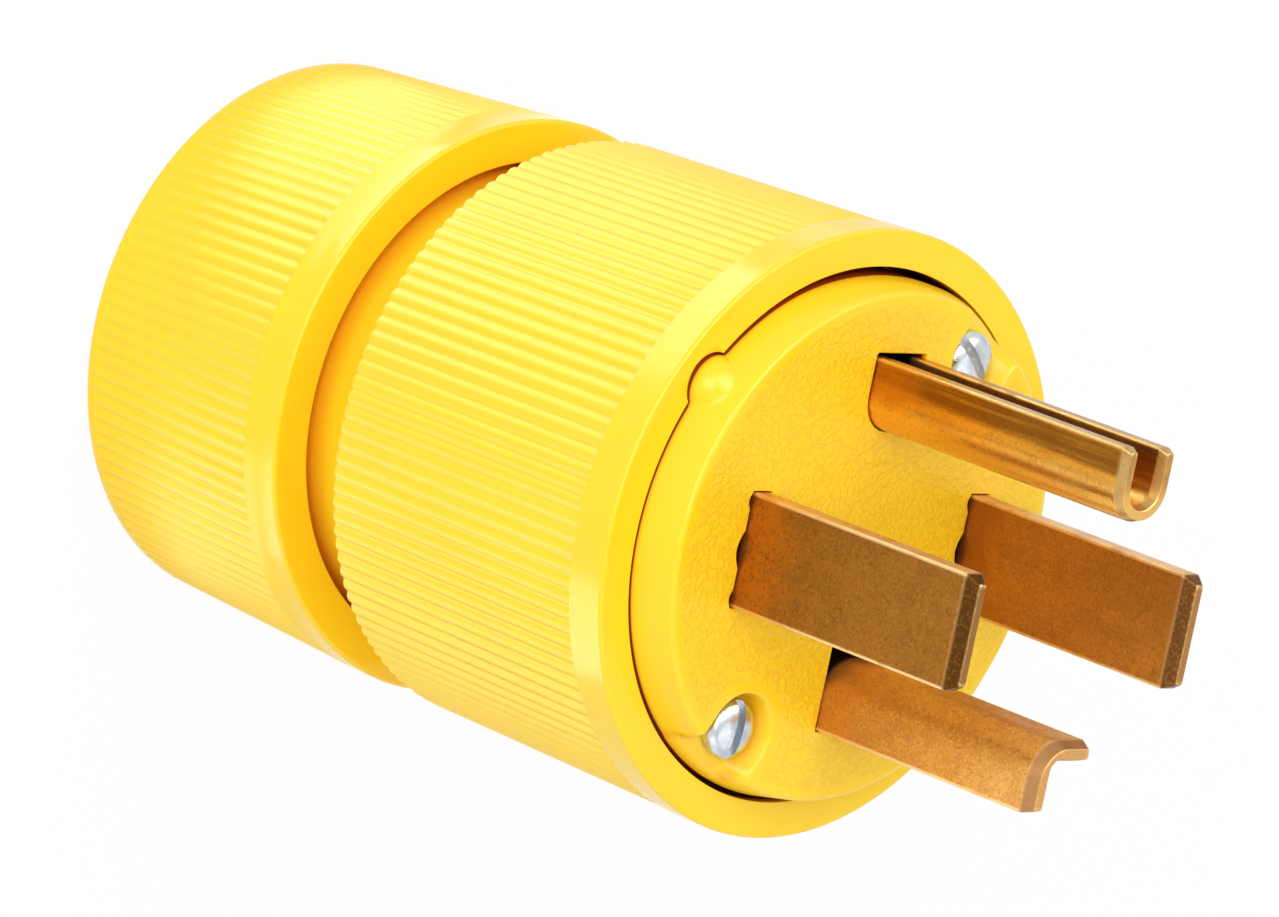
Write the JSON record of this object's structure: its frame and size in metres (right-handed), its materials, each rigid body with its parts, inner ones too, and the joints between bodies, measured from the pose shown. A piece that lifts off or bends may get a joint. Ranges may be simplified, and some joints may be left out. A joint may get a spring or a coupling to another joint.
{
  "type": "straight blade plug",
  "caption": "Round straight blade power plug: ribbed yellow body, screw-down rear cap for the cord, and a proud face with flat, L-shaped and U-shaped blades.",
  "frame": {"origin": "centre of the rear cap's back face, on which the plug stands", "axes": "+Z along the plug's axis towards the blade tips, +Y towards the ground blade, +X towards the right hot blade"},
  "size_m": [0.0522, 0.0522, 0.0978],
  "materials": {
    "yellow_body": "satin moulded nylon",
    "yellow_face": "fine orange-peel moulded nylon",
    "terminal_moulding": "moulded phenolic",
    "blade_metal": "drawn copper alloy, lightly tarnished",
    "clamp_steel": "zinc plated",
    "hot_screw_brass": "turned",
    "neutral_screw_steel": "nickel plated",
    "ground_screw_green": "green finish",
    "screw_zinc": "bright zinc plated",
    "insert_brass": "turned",
    "collet_nylon": "moulded nylon",
    "grommet_rubber": "moulded"
  },
  "bodies": {
    "root": {"front_housing": "yellow_body", "rear_cap": "yellow_body", "blade_face": "yellow_face", "terminal_body": "terminal_moulding", "hot_blade_right": "blade_metal", "hot_blade_left": "blade_metal", "neutral_blade": "blade_metal", "ground_blade": "blade_metal", "hot_clamp_right": "clamp_steel", "hot_clamp_left": "clamp_steel", "neutral_clamp": "clamp_steel", "ground_clamp": "clamp_steel", "slip_ring": "clamp_steel", "hot_screw_right": "hot_screw_brass", "hot_screw_left": "hot_screw_brass", "neutral_screw": "neutral_screw_steel", "ground_screw": "ground_screw_green", "assembly_screws": "screw_zinc", "threaded_inserts": "insert_brass", "grip_collet": "collet_nylon", "cord_grommet": "grommet_rubber"}
  },
  "joints": []
}
